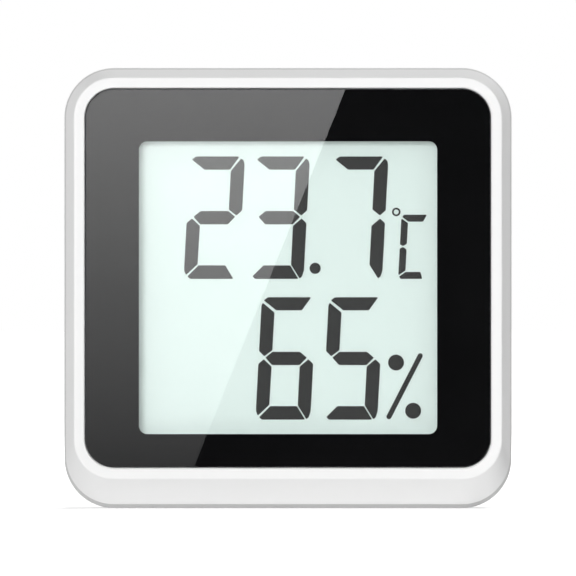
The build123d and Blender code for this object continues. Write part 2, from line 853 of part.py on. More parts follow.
def make_coin_can():
    """Positive can of the coin cell, open towards the board."""
    front = coin_front_y + cap_step
    can = rod(0, case_centre_z, coin_radius, front, coin_back_y)
    can = fillet(can.faces().sort_by(Axis.Y)[-1].edges(), can_wall)
    return can - rod(0, case_centre_z, coin_radius - can_wall, front, coin_back_y - can_wall)


def make_coin_gasket():
    """Plastic ring that keeps the can and the cap apart."""
    outer = Pos(0, case_centre_z) * Circle(coin_radius - can_wall)
    inner = Pos(0, case_centre_z) * Circle(coin_radius - can_wall - coin_gasket_width)
    return plate(outer - inner, coin_front_y + cap_step, coin_back_y - can_wall)


def make_coin_cap():
    """Negative cap of the coin cell, with what it encloses."""
    radius = coin_radius - can_wall - coin_gasket_width
    cap = rod(0, case_centre_z, radius, coin_front_y, coin_back_y - can_wall)
    return fillet(cap.faces().sort_by(Axis.Y)[0].edges(), cap_step)


def make_positive_contact():
    """Bent strip that touches the side of the can."""
    inner = coin_radius + contact_gap
    foot_top = board_back_y + contact_thickness
    tip = coin_front_y + coin_height * contact_reach_share
    upright_z = case_centre_z - inner - contact_thickness / 2
    upright = block(0, upright_z, contact_width, contact_thickness, board_back_y, tip)
    foot_z = case_centre_z - inner - contact_foot / 2
    return upright + block(0, foot_z, contact_width, contact_foot, board_back_y, foot_top)


def make_negative_contact():
    """Sprung leaf that presses on the cap."""
    low = board_back_y
    high = coin_front_y - contact_gap
    thick = contact_thickness
    droop = (high - thick - low) * leaf_droop_share
    under = [(leaf_foot_x, low), (leaf_bend_x, low), (0, high - thick)]
    tip = [(leaf_tip_x, high - thick - droop), (leaf_tip_x, high - droop)]
    over = [(0, high), (leaf_bend_x, low + thick), (leaf_foot_x, low + thick)]
    outline = Polygon(*(under + tip + over))
    start = Plane.XY.offset(case_centre_z - leaf_width / 2)
    return extrude(start * outline, amount=leaf_width)


def make_battery_cover():
    """Round bayonet cover with a coin slot, lugs and a gripped edge."""
    flange_front = cover_back_y - cover_flange
    cover = rod(0, case_centre_z, cover_radius, flange_front, cover_back_y)
    cover = chamfer(cover.faces().sort_by(Axis.Y)[-1].edges(), cover_edge_chamfer)
    lug_back = inner_back_y - lug_run_clearance
    lug_front = lug_back - lug_thickness
    hub_front = coin_back_y + coin_face_gap
    cover += rod(0, case_centre_z, hub_radius, lug_front, flange_front + cover_flange / 2)
    for index in range(lug_count):
        lug = sector(lug_radius, lug_angle, 90 + index * 360 / lug_count)
        cover += plate(lug, lug_front, lug_back)
    bowl_radius = coin_radius + coin_face_gap
    cover -= rod(0, case_centre_z, bowl_radius, lug_front - cut_overrun, hub_front)
    slot = Pos(0, case_centre_z) * SlotOverall(coin_slot_length, coin_slot_width)
    cover -= plate(slot, cover_back_y - coin_slot_depth, back_y + cut_overrun)
    mark_x, mark_z = round_the_cover(cover_radius - mark_gap, 0)
    cover -= rod(mark_x, mark_z, mark_radius, cover_back_y - mark_depth, back_y)
    grip_front = cover_back_y - cover_flange * grip_depth_share
    for index in range(grip_count):
        x, z = round_the_cover(cover_radius, index * 360 / grip_count)
        cover -= rod(x, z, grip_radius, grip_front, back_y)
    return cover


def make_cover_seal_ring():
    """Flat rubber washer between the cover's flange and its seat."""
    outer = Pos(0, case_centre_z) * Circle(seal_ring_outer_radius)
    inner = Pos(0, case_centre_z) * Circle(seal_ring_inner_radius)
    back = cover_back_y - cover_flange - seal_ring_squeeze_gap
    return plate(outer - inner, seat_y + seal_ring_squeeze_gap, back)


def make_kickstand():
    """U-shaped stand: two legs with stop heels, joined by a foot bar."""
    half = leg_thickness / 2
    foot_low = channel_bottom_z + stand_foot_gap - hinge_z
    opening = math.radians(stand_opening_angle)
    stop = stand_floor_gap - stand_stop_gap
    heel_start = (stop - half * math.cos(opening)) / math.sin(opening)
    heel_end = (stand_heel * math.sin(opening) - stop) / math.cos(opening)
    side_view = [(-half, foot_low), (half, foot_low), (half, stand_heel)]
    side_view += [(heel_end, stand_heel), (-half, heel_start)]
    outline = Pos(hinge_y, hinge_z) * Polygon(*side_view)
    legs = []
    for left_x in (-leg_outer_x, leg_inner_x):
        leg = extrude(Plane.YZ.offset(left_x) * outline, amount=leg_outer_x - leg_inner_x)
        legs.append(leg)
    foot_z = hinge_z + foot_low + stand_foot_height / 2
    foot = block(0, foot_z, 2 * leg_outer_x, stand_foot_height, hinge_y - half, hinge_y + half)
    stand = legs[0] + legs[1] + foot
    corners = stand.edges().filter_by(Axis.Y).group_by(Axis.Z)[0]
    stand = fillet(corners, stand_foot_height / 2)
    stand = fillet(stand.faces().sort_by(Axis.Y)[-1].edges(), stand_edge_radius)
    return stand - cross_pin(0, pin_radius + pin_bore_clearance, 2 * leg_outer_x + cut_overrun)


def make_kickstand_pins():
    """Two short steel pins, pressed into the channel's outer walls."""
    length = channel_outer_x + pin_seat_depth - leg_inner_x
    middle = leg_inner_x + length / 2
    return Compound(children=[cross_pin(side * middle, pin_radius, length) for side in (-1, 1)])


def make_magnets():
    """Two disc magnets glued into rings behind the back wall."""
    back = inner_back_y - magnet_glue
    discs = [rod(x, magnet_z, magnet_radius, back - magnet_thickness, back) for x in (-magnet_x, magnet_x)]
    return Compound(children=discs)


def make_case_screws():
    """Four long screws that join the two shells."""
    return Compound(children=[
        pan_screw(
            x, z, case_screw_seat(), case_screw_radius, case_screw_length,
            case_screw_head_radius, case_screw_head_height,
        )
        for x, z in corner_places(case_screw_side, case_screw_rise)
    ])


def make_board_screws():
    """Four short screws that hold the board and the carrier to the front shell."""
    return Compound(children=[
        pan_screw(
            x, z, board_back_y, board_screw_radius, board_screw_length,
            board_screw_head_radius, board_screw_head_height,
        )
        for x, z in corner_places(board_screw_side, board_screw_rise)
    ])


pieces = {
    "front_shell": make_front_shell(),
    "rear_shell": make_rear_shell(),
    "window_lens": make_window_lens(),
    "lens_mask": make_lens_mask(),
    "window_gasket": make_window_gasket(),
    "display_front_polarizer": plate(film_outline(), polarizer_front_y, polarizer_back_y),
    "display_front_glass": plate(
        glass_outline(front_glass_height, 0), front_glass_front_y, front_glass_back_y
    ),
    "display_seal": make_display_seal(),
    "temperature_segments": make_temperature_segments(),
    "humidity_segments": make_humidity_segments(),
    "display_rear_glass": plate(
        glass_outline(rear_glass_height, 0), rear_glass_front_y, rear_glass_back_y
    ),
    "display_reflector": plate(film_outline(), reflector_front_y, reflector_back_y),
    "display_carrier": make_display_carrier(),
    "rubber_connectors": make_rubber_connectors(),
    "board_pads": make_board_pads(),
    "main_board": make_main_board(),
    "controller_chip": make_chip(
        board_place(controller_place_shares), controller_size, controller_height
    ),
    "display_driver_chip": make_chip(board_place(driver_place_shares), driver_size, driver_height),
    "sensor_chip": make_sensor_chip(),
    "clock_crystal": make_crystal(),
    "chip_components": make_chip_components(),
    "board_antenna": make_board_antenna(),
    "unit_switch": make_unit_switch(),
    "switch_plunger": make_switch_plunger(),
    "unit_button": make_unit_button(),
    "cell_can": make_coin_can(),
    "cell_gasket": make_coin_gasket(),
    "cell_cap": make_coin_cap(),
    "positive_contact": make_positive_contact(),
    "negative_contact": make_negative_contact(),
    "battery_cover": make_battery_cover(),
    "cover_seal_ring": make_cover_seal_ring(),
    "kickstand": make_kickstand(),
    "kickstand_pins": make_kickstand_pins(),
    "magnets": make_magnets(),
    "case_screws": make_case_screws(),
    "board_screws": make_board_screws(),
}

for node, shape in pieces.items():
    export_step(shape, f"parts/{node}.step")
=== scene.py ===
import math

import bmesh
import bpy
from mathutils import Matrix, Vector


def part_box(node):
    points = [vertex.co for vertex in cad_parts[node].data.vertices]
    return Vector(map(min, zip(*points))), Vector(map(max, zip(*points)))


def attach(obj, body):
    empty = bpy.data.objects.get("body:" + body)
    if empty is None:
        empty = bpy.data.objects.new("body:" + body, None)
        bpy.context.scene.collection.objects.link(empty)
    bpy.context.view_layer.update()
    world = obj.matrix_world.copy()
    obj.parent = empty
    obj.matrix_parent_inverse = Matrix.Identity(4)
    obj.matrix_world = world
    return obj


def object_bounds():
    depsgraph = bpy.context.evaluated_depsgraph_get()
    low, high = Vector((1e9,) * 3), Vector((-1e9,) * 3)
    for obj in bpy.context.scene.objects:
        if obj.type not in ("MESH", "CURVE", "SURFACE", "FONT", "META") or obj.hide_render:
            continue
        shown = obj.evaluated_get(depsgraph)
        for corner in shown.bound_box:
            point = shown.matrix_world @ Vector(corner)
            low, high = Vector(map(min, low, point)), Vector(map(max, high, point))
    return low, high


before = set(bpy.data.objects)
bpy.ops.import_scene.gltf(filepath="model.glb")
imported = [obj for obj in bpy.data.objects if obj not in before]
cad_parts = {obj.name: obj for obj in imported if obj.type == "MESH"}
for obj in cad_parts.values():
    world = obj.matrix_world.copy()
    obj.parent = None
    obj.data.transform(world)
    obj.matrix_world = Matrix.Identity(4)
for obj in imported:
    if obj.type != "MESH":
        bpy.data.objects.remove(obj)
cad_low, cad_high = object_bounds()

MM = 0.001

# The camera stands straight in front of the sensor, level with its middle, with a long lens.
# The photograph shows 57.97 mm across at the depth of the case's widest outline.
camera_distance = 1500 * MM
outline_depth = 2.5 * MM
middle_height = 22.16 * MM
view_width = 57.97 * MM
camera_data = bpy.data.cameras.new("photo_camera")
camera_data.sensor_width = 36
camera_data.lens = camera_data.sensor_width * (camera_distance - outline_depth) / view_width
camera_data.clip_start = 0.05
camera_data.clip_end = 20
camera = bpy.data.objects.new("photo_camera", camera_data)
camera.location = (0, -camera_distance, middle_height)
camera.rotation_euler = (math.radians(90), 0, 0)
bpy.context.scene.collection.objects.link(camera)
bpy.context.scene.camera = camera
bpy.context.scene.view_settings.view_transform = "Standard"


def piece_from(shape, name):
    """Makes an object at the origin from a bmesh and frees the bmesh."""
    mesh = bpy.data.meshes.new(name)
    shape.to_mesh(mesh)
    shape.free()
    piece = bpy.data.objects.new(name, mesh)
    bpy.context.scene.collection.objects.link(piece)
    return piece


def feed(tree, socket, value):
    """Gives a socket a value, or joins it to another node's output."""
    if isinstance(value, bpy.types.NodeSocket):
        tree.links.new(value, socket)
    else:
        socket.default_value = value


def object_place(tree):
    """Place on the piece, in the frame that all pieces share."""
    return tree.nodes.new("ShaderNodeTexCoord").outputs["Object"]


def axis_of(tree, place, axis):
    """One coordinate of a place."""
    split = tree.nodes.new("ShaderNodeSeparateXYZ")
    feed(tree, split.inputs["Vector"], place)
    return split.outputs[axis]


def span(tree, value, low, high, to_low=0, to_high=1, clamp=True):
    """Maps a value from one span to another."""
    node = tree.nodes.new("ShaderNodeMapRange")
    node.clamp = clamp
    feed(tree, node.inputs["Value"], value)
    feed(tree, node.inputs["From Min"], low)
    feed(tree, node.inputs["From Max"], high)
    feed(tree, node.inputs["To Min"], to_low)
    feed(tree, node.inputs["To Max"], to_high)
    return node.outputs["Result"]


def maths(tree, operation, *values):
    """Result of a sum on one or two values."""
    node = tree.nodes.new("ShaderNodeMath")
    node.operation = operation
    for socket, value in zip(node.inputs, values):
        feed(tree, socket, value)
    return node.outputs["Value"]


def vector_maths(tree, operation, *values):
    """Result of a sum on one or two vectors."""
    node = tree.nodes.new("ShaderNodeVectorMath")
    node.operation = operation
    for socket, value in zip(node.inputs, values):
        feed(tree, socket, value)
    return node.outputs["Value" if operation == "LENGTH" else "Vector"]


def noise(tree, place, scale, detail=2, roughness=0.5):
    """Cloudy pattern that varies between 0 and 1."""
    node = tree.nodes.new("ShaderNodeTexNoise")
    feed(tree, node.inputs["Vector"], place)
    feed(tree, node.inputs["Scale"], scale)
    feed(tree, node.inputs["Detail"], detail)
    feed(tree, node.inputs["Roughness"], roughness)
    return node.outputs["Fac"]


def colour_mix(tree, share, first, second):
    """Blends from one colour to another by a share."""
    node = tree.nodes.new("ShaderNodeMix")
    node.data_type = "RGBA"
    feed(tree, node.inputs["Factor"], share)
    feed(tree, node.inputs["A"], first)
    feed(tree, node.inputs["B"], second)
    return node.outputs["Result"]


def new_material(name, shaded=True):
    """Makes a material with a principled shader, or with its output alone."""
    material = bpy.data.materials.new(name)
    material.use_nodes = True
    if not shaded:
        material.node_tree.nodes.remove(material.node_tree.nodes["Principled BSDF"])
    return material


def show(tree, shader):
    """Joins a shader to its material's output."""
    tree.links.new(shader, tree.nodes["Material Output"].inputs["Surface"])


# Studio floor: a matt white sheet with a painted glow that lights the sensor. The glow is bright in
# front of it and faint close under it and behind, as painted shade. The camera sees it lifted to white,
# less so close round the sensor, whose shadow stays. Gloss and glass see the white air in its place.
floor_reach = 6
floor_near_y = -2 * MM
floor_front_y = -4.2 * MM
floor_painted_shade_level = 0.03
floor_painted_light_level = 0.235
floor_white_reach = 400 * MM
floor_white_power = 0.2
floor_shadow_lift = 0.62
floor_grey = 0.6
floor_shape = bmesh.new()
bmesh.ops.create_grid(floor_shape, x_segments=1, y_segments=1, size=floor_reach)
floor = piece_from(floor_shape, "studio_floor")
floor_material = new_material("studio_floor", shaded=False)
floor_tree = floor_material.node_tree
floor_place = object_place(floor_tree)
floor_depth = axis_of(floor_tree, floor_place, "Y")
# Painted light and shade: the floor's own glow, for all rays but the camera's, is bright in front of
# the sensor and faint under it.
floor_painted_glow = span(
    floor_tree, floor_depth, floor_near_y, floor_front_y, floor_painted_shade_level, floor_painted_light_level
)
floor_folded = vector_maths(floor_tree, "ABSOLUTE", floor_place)
floor_outside = vector_maths(floor_tree, "SUBTRACT", floor_folded, (cad_high[0], cad_high[1], 0))
floor_beside = vector_maths(floor_tree, "MAXIMUM", floor_outside, (0, 0, 0))
floor_distance = vector_maths(floor_tree, "LENGTH", floor_beside)
floor_share = span(floor_tree, floor_distance, 0, floor_white_reach)
floor_rise = maths(floor_tree, "POWER", floor_share, floor_white_power)
floor_lift = span(floor_tree, floor_rise, 0, 1, floor_shadow_lift, 1)
floor_rays = floor_tree.nodes.new("ShaderNodeLightPath")
floor_level = span(floor_tree, floor_rays.outputs["Is Camera Ray"], 0, 1, floor_painted_glow, floor_lift)
floor_light = floor_tree.nodes.new("ShaderNodeEmission")
feed(floor_tree, floor_light.inputs["Strength"], floor_level)
floor_sheet = floor_tree.nodes.new("ShaderNodeBsdfDiffuse")
floor_sheet.inputs["Color"].default_value = (floor_grey, floor_grey, floor_grey, 1)
floor_seen = floor_tree.nodes.new("ShaderNodeAddShader")
feed(floor_tree, floor_seen.inputs[0], floor_sheet.outputs["BSDF"])
feed(floor_tree, floor_seen.inputs[1], floor_light.outputs["Emission"])
show(floor_tree, floor_seen.outputs["Shader"])
floor.data.materials.append(floor_material)
floor.visible_glossy = False
floor.visible_transmission = False

# Studio air: white behind the sensor and in what glass and gloss reflect, and a softer level for
# the light that reaches its surfaces, which falls off towards the right and the back.
air_level = 0.34
air_right_level = 0.0
air_right_from = -0.3
air_right_to = 0.6
air_back_share = 0.45
air_back_from = -0.1
air_back_to = 0.6
world = bpy.data.worlds.new("studio_air")
bpy.context.scene.world = world
world.use_nodes = True
air = world.node_tree
air_way = air.nodes.new("ShaderNodeTexCoord").outputs["Generated"]
air_side = span(
    air, axis_of(air, air_way, "X"), air_right_from, air_right_to, air_level, air_right_level
)
air_back = span(air, axis_of(air, air_way, "Y"), air_back_from, air_back_to, 1, air_back_share)
air_soft = maths(air, "MULTIPLY", air_side, air_back)
air_rays = air.nodes.new("ShaderNodeLightPath").outputs
air_mirrored = maths(air, "MAXIMUM", air_rays["Is Camera Ray"], air_rays["Is Glossy Ray"])
air_white = maths(air, "MAXIMUM", air_mirrored, air_rays["Is Transmission Ray"])
air_background = air.nodes["Background"].inputs
air_background["Color"].default_value = (1, 1, 1, 1)
feed(air, air_background["Strength"], span(air, air_white, 0, 1, air_soft, 1))


def soft_lamp(name, place, width, level):
    """Square lamp aimed at the sensor's middle, which lights a facing surface to a level."""
    lamp_data = bpy.data.lights.new(name, "AREA")
    lamp_data.size = width
    aim = Vector((0, 0, middle_height)) - Vector(place)
    lamp_data.energy = level * math.pi ** 2 * aim.length ** 2
    lamp = bpy.data.objects.new(name, lamp_data)
    lamp.location = place
    lamp.rotation_euler = aim.to_track_quat("-Z", "Y").to_euler()
    lamp.visible_camera = False
    lamp.visible_glossy = False
    lamp.visible_transmission = False
    bpy.context.scene.collection.objects.link(lamp)


# Lamps: a large one in front, a touch to the left, a faint one overhead, and a smaller one behind
# to the right, which models the back and draws the contact shadow.
soft_lamp("front_lamp", place=(-0.12, -0.8, 0.05), width=0.3, level=0.968)
soft_lamp("top_lamp", place=(0, -0.05, 0.7), width=0.3, level=0.09)
soft_lamp("back_lamp", place=(0.26, 0.5, 0.34), width=0.14, level=0.78)

# Window light that the glossy front mirrors: a dark card with a bright left part, cut on a slant
# and fading downwards. Only mirrored rays meet it, so it lights nothing.
card_distance = 1600 * MM
card_size = 170 * MM
mirror_scale = (camera_distance + card_distance) / camera_distance
glare_top_x = 5.84 * MM * mirror_scale
glare_foot_x = -9.46 * MM * mirror_scale
glare_top_z = (42.29 * MM - middle_height) * mirror_scale
glare_foot_z = (4.15 * MM - middle_height) * mirror_scale
glare_bend = 0.47
glare_steps = ((0, 0.18), (glare_bend, 0.48), (1, 0.96))
card_dark_glow = 0.02
card_full_glow = 2.2
card_shape = bmesh.new()
bmesh.ops.create_grid(card_shape, x_segments=1, y_segments=1, size=card_size / 2)
bmesh.ops.rotate(card_shape, verts=card_shape.verts, matrix=Matrix.Rotation(math.pi / 2, 3, "X"))
bmesh.ops.translate(card_shape, verts=card_shape.verts, vec=(0, -card_distance, middle_height))
card = piece_from(card_shape, "window_light_card")
card.visible_camera = False
card.visible_diffuse = False
card.visible_shadow = False
card_material = new_material("window_light_card", shaded=False)
card_tree = card_material.node_tree
card_place = vector_maths(card_tree, "SUBTRACT", object_place(card_tree), (0, 0, middle_height))
card_height = axis_of(card_tree, card_place, "Z")
card_edge = span(
    card_tree, card_height, glare_foot_z, glare_top_z, glare_foot_x, glare_top_x, clamp=False
)
card_left = maths(card_tree, "LESS_THAN", axis_of(card_tree, card_place, "X"), card_edge)
card_ramp = card_tree.nodes.new("ShaderNodeValToRGB")
card_ramp.color_ramp.elements.new(glare_bend)
for element, (position, share) in zip(card_ramp.color_ramp.elements, glare_steps):
    element.position = position
    element.color = (share, share, share, 1)
card_fade = span(card_tree, card_height, glare_foot_z, glare_top_z)
feed(card_tree, card_ramp.inputs["Fac"], card_fade)
card_share = maths(card_tree, "MULTIPLY", card_ramp.outputs["Color"], card_left)
card_glow = span(card_tree, card_share, 0, 1, card_dark_glow, card_full_glow, clamp=False)
card_light = card_tree.nodes.new("ShaderNodeEmission")
feed(card_tree, card_light.inputs["Strength"], card_glow)
show(card_tree, card_light.outputs["Emission"])
card.data.materials.append(card_material)


def moulded_skin_group():
    """Shared surface of moulded and pressed pieces: cloudy colour and gloss, and a fine grain."""
    grain_depth = 0.02 * MM
    cloud_low = 0.35
    cloud_high = 0.65
    group = bpy.data.node_groups.new("moulded_skin", "ShaderNodeTree")
    for name in ("Grain", "Relief", "Cloud", "Gloss", "Dull"):
        group.interface.new_socket(name, in_out="INPUT", socket_type="NodeSocketFloat")
    for name in ("Light", "Dark"):
        group.interface.new_socket(name, in_out="INPUT", socket_type="NodeSocketColor")
    group.interface.new_socket("Place", in_out="INPUT", socket_type="NodeSocketVector")
    group.interface.new_socket("Color", in_out="OUTPUT", socket_type="NodeSocketColor")
    group.interface.new_socket("Roughness", in_out="OUTPUT", socket_type="NodeSocketFloat")
    group.interface.new_socket("Normal", in_out="OUTPUT", socket_type="NodeSocketVector")
    given = group.nodes.new("NodeGroupInput").outputs
    result = group.nodes.new("NodeGroupOutput").inputs
    clouds = noise(group, given["Place"], given["Cloud"], detail=3)
    cloud = span(group, clouds, cloud_low, cloud_high)
    grain = noise(group, given["Place"], given["Grain"], detail=4, roughness=0.62)
    bump = group.nodes.new("ShaderNodeBump")
    feed(group, bump.inputs["Distance"], grain_depth)
    feed(group, bump.inputs["Strength"], given["Relief"])
    feed(group, bump.inputs["Height"], grain)
    feed(group, result["Color"], colour_mix(group, cloud, given["Dark"], given["Light"]))
    feed(group, result["Roughness"], span(group, cloud, 0, 1, given["Gloss"], given["Dull"]))
    feed(group, result["Normal"], bump.outputs["Normal"])
    return group


moulded_skin = moulded_skin_group()


def skin_material(
    name, light, dark, gloss, dull, grain=5200, relief=0.12, cloud=90, metallic=0.0, specular=0.5
):
    """Material of one moulded, cast or pressed finish, with its two tones and two roughnesses."""
    material = new_material(name)
    tree = material.node_tree
    shader = tree.nodes["Principled BSDF"].inputs
    shader["Metallic"].default_value = metallic
    shader["Specular IOR Level"].default_value = specular
    skin = tree.nodes.new("ShaderNodeGroup")
    skin.node_tree = moulded_skin
    given = {
        "Place": object_place(tree), "Light": (*light, 1), "Dark": (*dark, 1), "Gloss": gloss,
        "Dull": dull, "Grain": grain, "Relief": relief, "Cloud": cloud,
    }
    for socket, value in given.items():
        feed(tree, skin.inputs[socket], value)
    feed(tree, shader["Base Color"], skin.outputs["Color"])
    feed(tree, shader["Roughness"], skin.outputs["Roughness"])
    feed(tree, shader["Normal"], skin.outputs["Normal"])
    return material


def overlay(material, share, colour):
    """Lays a second colour over a finish where the share is high."""
    tree = material.node_tree
    base = tree.nodes["Principled BSDF"].inputs["Base Color"]
    feed(tree, base, colour_mix(tree, share, base.links[0].from_socket, (*colour, 1)))


def dress(node, material):
    """Gives a piece of the frame its finish."""
    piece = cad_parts[node]
    if not piece.material_slots:
        piece.data.materials.append(material)
    for slot in piece.material_slots:
        slot.material = material


# Front shell: bright white ABS, moulded with a fine satin texture. Its rim frames the window,
# and its skirt slides into the rear shell.
dress("front_shell", skin_material(
    "white_front", light=(0.925, 0.925, 0.922), dark=(0.912, 0.912, 0.91),
    gloss=0.34, dull=0.42, relief=0.08,
))

# Rear shell: the same ABS with a coarser spark-eroded texture. It is a shade greyer, partly its own
# tone and partly painted shade for its outline round the front. It is darker still on the bevel along
# the seam, which is painted shade. Four screws from behind join it to the front one. The kickstand is
# moulded like it.
case_low, case_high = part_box("rear_shell")
seam_shade_depth = 1.1 * MM
case_white = skin_material(
    "white_case", light=(0.81, 0.81, 0.808), dark=(0.795, 0.795, 0.793),
    gloss=0.4, dull=0.5, grain=4200, relief=0.2,
)
case_tree = case_white.node_tree
# Painted shade: the colour darkens towards the shell's front edge, over the bevel along the seam.
case_depth = axis_of(case_tree, object_place(case_tree), "Y")
painted_seam_shade = span(case_tree, case_depth, case_low.y + seam_shade_depth, case_low.y)
overlay(case_white, painted_seam_shade, (0.66, 0.66, 0.658))
dress("rear_shell", case_white)
dress("kickstand", case_white)

# Unit button: a pale grey plastic cap with a thumb dish, moulded on its own. Its flange lies
# behind the back wall and keeps it in, and a press moves the switch's plunger.
dress("unit_button", skin_material(
    "grey_button", light=(0.50, 0.51, 0.52), dark=(0.47, 0.48, 0.49),
    gloss=0.34, dull=0.42, relief=0.08,
))

# Battery cover: the same white plastic from its own tool, a touch smoother. Its lugs hold in the
# shell like a bayonet, and a coin in its slot turns it.
dress("battery_cover", skin_material(
    "white_cover", light=(0.825, 0.825, 0.823), dark=(0.81, 0.81, 0.808),
    gloss=0.3, dull=0.38, relief=0.1,
))

# Turn marks: grey paint dabbed into the dimples of the shell and the cover. Open is at the top
# and locked is to its right, seen from behind, and a printed arrow follows the cover's edge
# between them.
paint_grey = skin_material(
    "mark_paint", light=(0.16, 0.165, 0.17), dark=(0.13, 0.135, 0.14), gloss=0.45, dull=0.55
)
cover_low, cover_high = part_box("battery_cover")
cover_middle_z = (cover_low.z + cover_high.z) / 2
cover_reach = (cover_high.z - cover_low.z) / 2
mark_gap = 1.3 * MM
mark_depth = 0.2 * MM
paint_radius = 0.4 * MM
paint_thickness = 0.03 * MM
lock_turn = math.radians(35)


def paint_dab(shape, radius, turn, floor_y):
    """Adds a round dab of paint at a radius and a turn from straight up, on a dimple's floor."""
    place = Vector((radius * math.sin(turn), floor_y, cover_middle_z + radius * math.cos(turn)))
    flat = Matrix.Translation(place) @ Matrix.Rotation(math.pi / 2, 4, "X")
    bmesh.ops.create_cone(
        shape, cap_ends=True, cap_tris=False, segments=28, radius1=paint_radius,
        radius2=paint_radius, depth=2 * paint_thickness, matrix=flat,
    )


shell_dabs = bmesh.new()
for turn in (0, -lock_turn):
    paint_dab(shell_dabs, cover_reach + mark_gap, turn, case_high.y - mark_depth)
arrow_gap = 1.35 * MM
arrow_radius = cover_reach + arrow_gap
arrow_half_width = 0.14 * MM
arrow_head_radius = 0.5 * MM
arrow_rise = 0.01 * MM
arrow_start = -math.radians(6)
arrow_sweep = math.radians(20)
axis_point = Vector((0, case_high.y + arrow_rise, cover_middle_z))
stroke = [
    shell_dabs.verts.new(
        axis_point + Matrix.Rotation(arrow_start, 3, "Y") @ Vector((0, 0, arrow_radius + side))
    )
    for side in (-arrow_half_width, arrow_half_width)
]
stroke_edge = shell_dabs.edges.new(stroke)
bmesh.ops.spin(
    shell_dabs, geom=[*stroke, stroke_edge], cent=axis_point, axis=(0, -1, 0),
    angle=arrow_sweep, steps=14, use_duplicate=False,
)
head_turn = arrow_start - arrow_sweep
head_place = axis_point + Matrix.Rotation(head_turn, 3, "Y") @ Vector((0, 0, arrow_radius))
head_flat = Matrix.Rotation(head_turn - math.pi / 2, 4, "Y") @ Matrix.Rotation(math.pi / 2, 4, "X")
bmesh.ops.create_circle(
    shell_dabs, cap_ends=True, cap_tris=False, segments=3, radius=arrow_head_radius,
    matrix=Matrix.Translation(head_place) @ head_flat,
)
bmesh.ops.recalc_face_normals(shell_dabs, faces=shell_dabs.faces)
printed = [face for face in shell_dabs.faces if face.calc_center_median().y > case_high.y]
for face in printed:
    if face.normal.y < 0:
        face.normal_flip()
shell_marks = piece_from(shell_dabs, "shell_turn_marks")
shell_marks.data.materials.append(paint_grey)
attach(shell_marks, "root")
cover_dab = bmesh.new()
paint_dab(cover_dab, cover_reach - mark_gap, 0, cover_high.y - mark_depth)
cover_mark = piece_from(cover_dab, "cover_turn_mark")
cover_mark.data.materials.append(paint_grey)
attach(cover_mark, "battery_cover")

# Grip on the kickstand's foot: three low rounded ribs for a fingernail, moulded with the stand
# in the same plastic.
rib_length = 7 * MM
rib_width = 0.36 * MM
rib_rise = 0.09 * MM
rib_pitch = 0.62 * MM
rib_rounding = 0.07 * MM
foot_half_height = 1.25 * MM
stand_low, stand_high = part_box("kickstand")
rib_shape = bmesh.new()
for index in (-1, 0, 1):
    middle = Vector((0, stand_high.y, stand_low.z + foot_half_height + index * rib_pitch))
    size = Matrix.Diagonal((rib_length, 2 * rib_rise, rib_width, 1))
    bmesh.ops.create_cube(rib_shape, size=1, matrix=Matrix.Translation(middle) @ size)
bmesh.ops.bevel(
    rib_shape, geom=rib_shape.edges[:], offset=rib_rounding, offset_type="OFFSET", segments=3,
    profile=0.5, affect="EDGES", material=-1, clamp_overlap=True,
)
stand_ribs = piece_from(rib_shape, "stand_grip_ribs")
stand_ribs.data.materials.append(case_white)
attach(stand_ribs, "kickstand")

# Window: a sheet of clear hard-coated acrylic with a fine bevel, glued flush into the rim. Its
# smears are too faint to blur it, and it casts no shadow on the display.
window_clear = new_material("clear_window")
window_tree = window_clear.node_tree
window_shader = window_tree.nodes["Principled BSDF"].inputs
window_shader["Base Color"].default_value = (0.985, 0.99, 0.99, 1)
window_shader["Transmission Weight"].default_value = 1
window_shader["IOR"].default_value = 1.5
smear_scale = 160
smear_roughness = 0.004
smears = noise(window_tree, object_place(window_tree), smear_scale, detail=3)
feed(window_tree, window_shader["Roughness"], span(window_tree, smears, 0, 1, 0, smear_roughness))
dress("window_lens", window_clear)
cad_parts["window_lens"].visible_shadow = False

# Border: black ink, screen-printed on the back of the window. The display's opening is left
# clear in it.
dress("lens_mask", skin_material(
    "black_print", light=(0.0036, 0.0036, 0.004), dark=(0.0026, 0.0026, 0.003),
    gloss=0.5, dull=0.6, relief=0.02, specular=0,
))


def film_material(name, tint, body_share, gloss, dull, metallic):
    """Thin clear film or glass inside the display, which shows only as a faint tint or sheen."""
    material = new_material(name)
    tree = material.node_tree
    shader = tree.nodes["Principled BSDF"]
    shader.inputs["Base Color"].default_value = (*tint, 1)
    shader.inputs["Metallic"].default_value = metallic
    haze_scale = 900
    haze = noise(tree, object_place(tree), haze_scale)
    feed(tree, shader.inputs["Roughness"], span(tree, haze, 0, 1, gloss, dull))
    clear = tree.nodes.new("ShaderNodeBsdfTransparent")
    clear.inputs["Color"].default_value = (*tint, 1)
    blend = tree.nodes.new("ShaderNodeMixShader")
    blend.inputs["Fac"].default_value = body_share
    feed(tree, blend.inputs[1], clear.outputs["BSDF"])
    feed(tree, blend.inputs[2], shader.outputs["BSDF"])
    show(tree, blend.outputs["Shader"])
    return material


